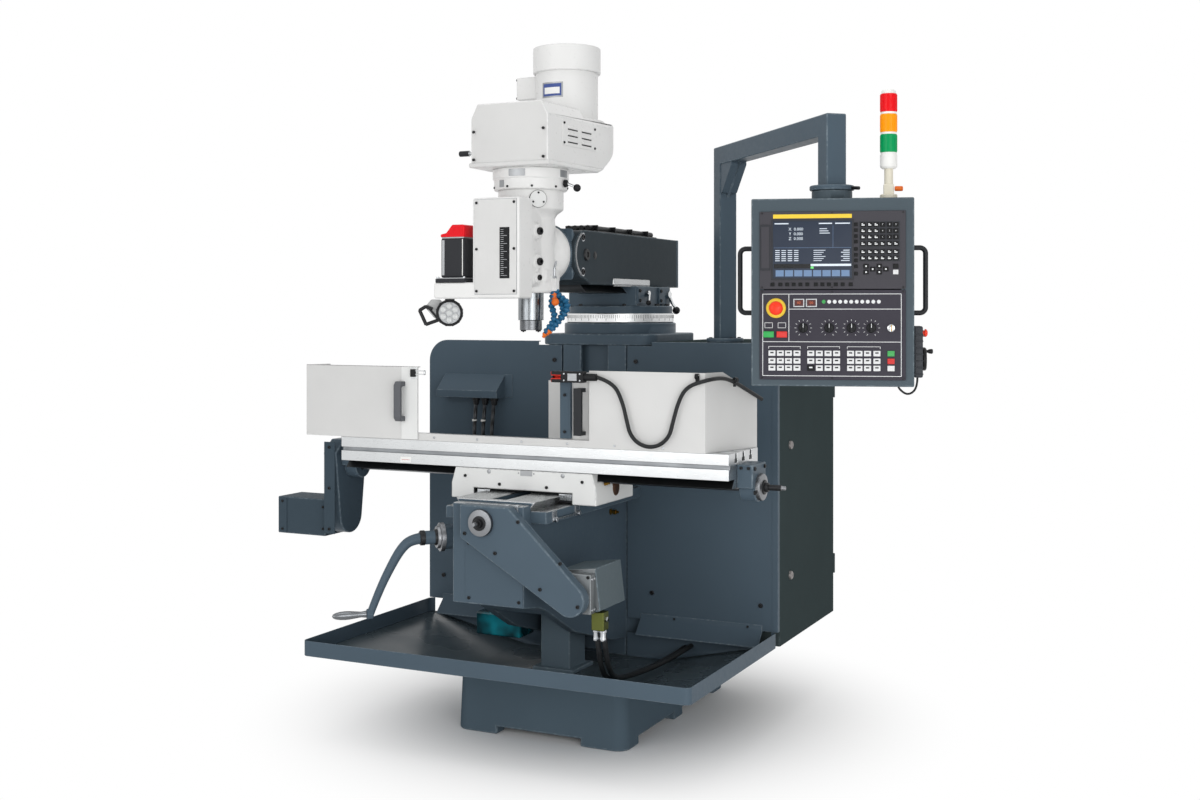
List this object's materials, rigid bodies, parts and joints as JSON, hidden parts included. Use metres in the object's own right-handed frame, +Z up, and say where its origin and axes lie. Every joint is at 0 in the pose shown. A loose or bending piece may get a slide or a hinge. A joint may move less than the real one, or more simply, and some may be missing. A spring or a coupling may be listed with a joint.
{
  "type": "cnc turret mill",
  "caption": "Knee-type turret milling machine with servo feeds, quill drive, guarded table, coolant tray and a control pendant on a swinging arm.",
  "frame": {"origin": "on the floor, at the centre of the four levelling holes in the base", "axes": "+X right along the table, +Y from the spindle back to the column, +Z up"},
  "size_m": [2.2711, 1.5417, 2.235],
  "materials": {
    "machine_paint": "semi-gloss",
    "head_paint": "semi-gloss",
    "light_paint": "semi-gloss",
    "servo_paint": "satin",
    "servo_black": "satin",
    "reservoir_plastic": "matte",
    "ground_steel": "ground",
    "polished_steel": "polished",
    "black_plastic": "matte",
    "black_rubber": "matte",
    "panel_plastic": "satin",
    "nozzle_plastic": "gloss",
    "red_plastic": "gloss",
    "green_plastic": "gloss",
    "key_metal": "polished"
  },
  "bodies": {
    "frame": {"base_casting": "machine_paint", "coolant_tray": "machine_paint", "column_casting": "machine_paint", "splash_panels": "machine_paint", "electrical_cabinet": "machine_paint", "junction_box": "machine_paint", "junction_hoses": "black_rubber", "lift_pedestal": "machine_paint"},
    "cabinet_door": {"cabinet_door": "machine_paint"},
    "knee": {"knee_casting": "machine_paint", "oil_reservoir": "reservoir_plastic", "cross_belt_cover": "machine_paint", "cross_servo": "servo_paint", "knee_hoses": "black_rubber"},
    "lift_screw": {"lift_screw": "ground_steel"},
    "lift_crank": {"lift_crank": "machine_paint"},
    "crank_grip": {"crank_grip": "polished_steel"},
    "saddle": {"saddle_casting": "light_paint"},
    "cross_screw": {"cross_screw": "ground_steel"},
    "table": {"work_table": "ground_steel", "end_brackets": "machine_paint", "feed_belt_housing": "machine_paint", "table_guard": "light_paint", "switch_conduit": "black_rubber"},
    "table_screw": {"table_screw": "ground_steel"},
    "left_door": {"left_guard_door": "light_paint"},
    "right_door": {"right_guard_door": "light_paint", "interlock_switch": "black_plastic"},
    "turret": {"turret_saddle": "machine_paint"},
    "ram_lock": {"ram_lock_lever": "black_plastic"},
    "ram": {"ram_casting": "machine_paint", "ram_cables": "black_plastic"},
    "adapter": {"head_adapter": "machine_paint"},
    "head": {"head_casting": "head_paint", "gear_housing": "head_paint", "belt_housing": "head_paint", "spindle_motor": "head_paint", "quill_drive_cover": "light_paint", "quill_servo": "servo_black", "coolant_nozzle": "nozzle_plastic"},
    "quill": {"quill": "ground_steel"},
    "spindle": {"spindle": "ground_steel"},
    "speed_lever": {"speed_lever": "black_plastic"},
    "brake_lever": {"brake_lever": "black_plastic"},
    "lamp": {"work_lamp": "black_plastic"},
    "arm": {"pendant_arm": "machine_paint"},
    "pendant": {"pendant_case": "machine_paint", "control_panels": "panel_plastic", "pendant_handles": "black_plastic", "stack_light": "machine_paint", "hand_pulse_unit": "black_plastic"},
    "pulse_wheel": {"pulse_wheel": "black_plastic"},
    "estop_button": {"estop_button": "red_plastic"},
    "mode_knob": {"mode_knob": "black_plastic"},
    "feed_knob": {"feed_knob": "black_plastic"},
    "rapid_knob": {"rapid_knob": "black_plastic"},
    "speed_knob": {"speed_knob": "black_plastic"},
    "key_switch": {"key_switch": "key_metal"},
    "start_button": {"start_button": "green_plastic"},
    "stop_button": {"stop_button": "red_plastic"}
  },
  "joints": [
    {"name": "cabinet_door_hinge", "type": "hinge", "parent": "frame", "child": "cabinet_door", "pos_m": [0.6619, 0.605, 0.77], "axis": [0, 0, 1], "range_deg": [0, 110]},
    {"name": "knee_slide", "type": "slide", "parent": "frame", "child": "knee", "axis": [0, 0, 1], "range_m": [-0.05, 0.16], "deforming": ["knee_hoses"]},
    {"name": "lift_screw_turn", "type": "hinge", "parent": "knee", "child": "lift_screw", "pos_m": [0, -0.257, 0.5], "axis": [0, 0, 1], "continuous": true},
    {"name": "crank_turn", "type": "hinge", "parent": "knee", "child": "lift_crank", "pos_m": [-0.207, -0.69, 0.671], "axis": [-0.7071, -0.7071, 0], "continuous": true},
    {"name": "grip_turn", "type": "hinge", "parent": "lift_crank", "child": "crank_grip", "pos_m": [-0.3661, -0.8491, 0.449], "axis": [-0.7071, -0.7071, 0], "continuous": true},
    {"name": "saddle_slide", "type": "slide", "parent": "knee", "child": "saddle", "axis": [0, 1, 0], "range_m": [-0.17, 0.18]},
    {"name": "cross_screw_turn", "type": "hinge", "parent": "knee", "child": "cross_screw", "pos_m": [0, -0.4, 0.741], "axis": [0, 1, 0], "continuous": true},
    {"name": "table_slide", "type": "slide", "parent": "saddle", "child": "table", "axis": [1, 0, 0], "range_m": [-0.415, 0.2]},
    {"name": "table_screw_turn", "type": "hinge", "parent": "table", "child": "table_screw", "pos_m": [0, -0.411, 0.845], "axis": [1, 0, 0], "continuous": true},
    {"name": "left_door_slide", "type": "slide", "parent": "table", "child": "left_door", "axis": [1, 0, 0], "range_m": [0, 0.362]},
    {"name": "right_door_slide", "type": "slide", "parent": "table", "child": "right_door", "axis": [1, 0, 0], "range_m": [-0.12, 0], "deforming": ["switch_conduit"]},
    {"name": "turret_swivel", "type": "hinge", "parent": "frame", "child": "turret", "pos_m": [0, 0.19, 1.33], "axis": [0, 0, 1], "range_deg": [-90, 30]},
    {"name": "ram_lock_turn", "type": "hinge", "parent": "turret", "child": "ram_lock", "pos_m": [0.1374, 0.312, 1.426], "axis": [1, 0, 0], "range_deg": [0, 60]},
    {"name": "ram_slide", "type": "slide", "parent": "turret", "child": "ram", "axis": [0, 1, 0], "range_m": [-0.2, 0.2]},
    {"name": "head_nod", "type": "hinge", "parent": "ram", "child": "adapter", "pos_m": [0, -0.3, 1.55], "axis": [-1, 0, 0], "range_deg": [-30, 20]},
    {"name": "head_tilt", "type": "hinge", "parent": "adapter", "child": "head", "pos_m": [0, -0.4, 1.55], "axis": [0, -1, 0], "range_deg": [-45, 45]},
    {"name": "quill_feed", "type": "slide", "parent": "head", "child": "quill", "axis": [0, 0, 1], "range_m": [-0.127, 0]},
    {"name": "spindle_turn", "type": "hinge", "parent": "quill", "child": "spindle", "pos_m": [0, -0.48, 1.4], "axis": [0, 0, 1], "continuous": true},
    {"name": "speed_lever_turn", "type": "hinge", "parent": "head", "child": "speed_lever", "pos_m": [0.125, -0.48, 1.765], "axis": [1, 0, 0], "range_deg": [-35, 35]},
    {"name": "brake_lever_turn", "type": "hinge", "parent": "head", "child": "brake_lever", "pos_m": [-0.158, -0.56, 1.865], "axis": [0, 0, 1], "range_deg": [-25, 25]},
    {"name": "lamp_swivel", "type": "hinge", "parent": "head", "child": "lamp", "pos_m": [-0.2, -0.64, 1.37], "axis": [0, 0, 1], "range_deg": [-60, 60]},
    {"name": "arm_swing", "type": "hinge", "parent": "frame", "child": "arm", "pos_m": [0.452, 0.051, 1.27], "axis": [0, 0, 1], "range_deg": [-40, 80]},
    {"name": "pendant_swivel", "type": "hinge", "parent": "arm", "child": "pendant", "pos_m": [1.004, -0.572, 1.69], "axis": [0, 0, 1], "range_deg": [-90, 85]},
    {"name": "pulse_wheel_turn", "type": "hinge", "parent": "pendant", "child": "pulse_wheel", "pos_m": [1.24106, -0.5061, 1.236], "axis": [0.9578, 0.2874, 0], "continuous": true},
    {"name": "estop_press", "type": "slide", "parent": "pendant", "child": "estop_button", "axis": [-0.2874, 0.9578, 0], "range_m": [0, 0.006], "stiffness_N_per_m": 800},
    {"name": "mode_knob_turn", "type": "hinge", "parent": "pendant", "child": "mode_knob", "pos_m": [0.95372, -0.67583, 1.322], "axis": [0.2874, -0.9578, 0], "range_deg": [-60, 60]},
    {"name": "feed_knob_turn", "type": "hinge", "parent": "pendant", "child": "feed_knob", "pos_m": [1.02076, -0.65571, 1.322], "axis": [0.2874, -0.9578, 0], "range_deg": [-120, 120]},
    {"name": "rapid_knob_turn", "type": "hinge", "parent": "pendant", "child": "rapid_knob", "pos_m": [1.07823, -0.63847, 1.322], "axis": [0.2874, -0.9578, 0], "range_deg": [-60, 60]},
    {"name": "speed_knob_turn", "type": "hinge", "parent": "pendant", "child": "speed_knob", "pos_m": [1.129, -0.62324, 1.322], "axis": [0.2874, -0.9578, 0], "range_deg": [-120, 120]},
    {"name": "key_turn", "type": "hinge", "parent": "pendant", "child": "key_switch", "pos_m": [1.17976, -0.60801, 1.322], "axis": [0.2874, -0.9578, 0], "range_deg": [0, 90]},
    {"name": "start_press", "type": "slide", "parent": "pendant", "child": "start_button", "axis": [-0.2874, 0.9578, 0], "range_m": [0, 0.004], "stiffness_N_per_m": 500},
    {"name": "stop_press", "type": "slide", "parent": "pendant", "child": "stop_button", "axis": [-0.2874, 0.9578, 0], "range_m": [0, 0.004], "stiffness_N_per_m": 500}
  ],
  "couplings": [
    {"joint": "lift_screw_turn", "follows": "knee_slide", "rad_per_m": 1047.2},
    {"joint": "cross_screw_turn", "follows": "saddle_slide", "rad_per_m": 1256.6},
    {"joint": "table_screw_turn", "follows": "table_slide", "rad_per_m": 1256.6}
  ]
}
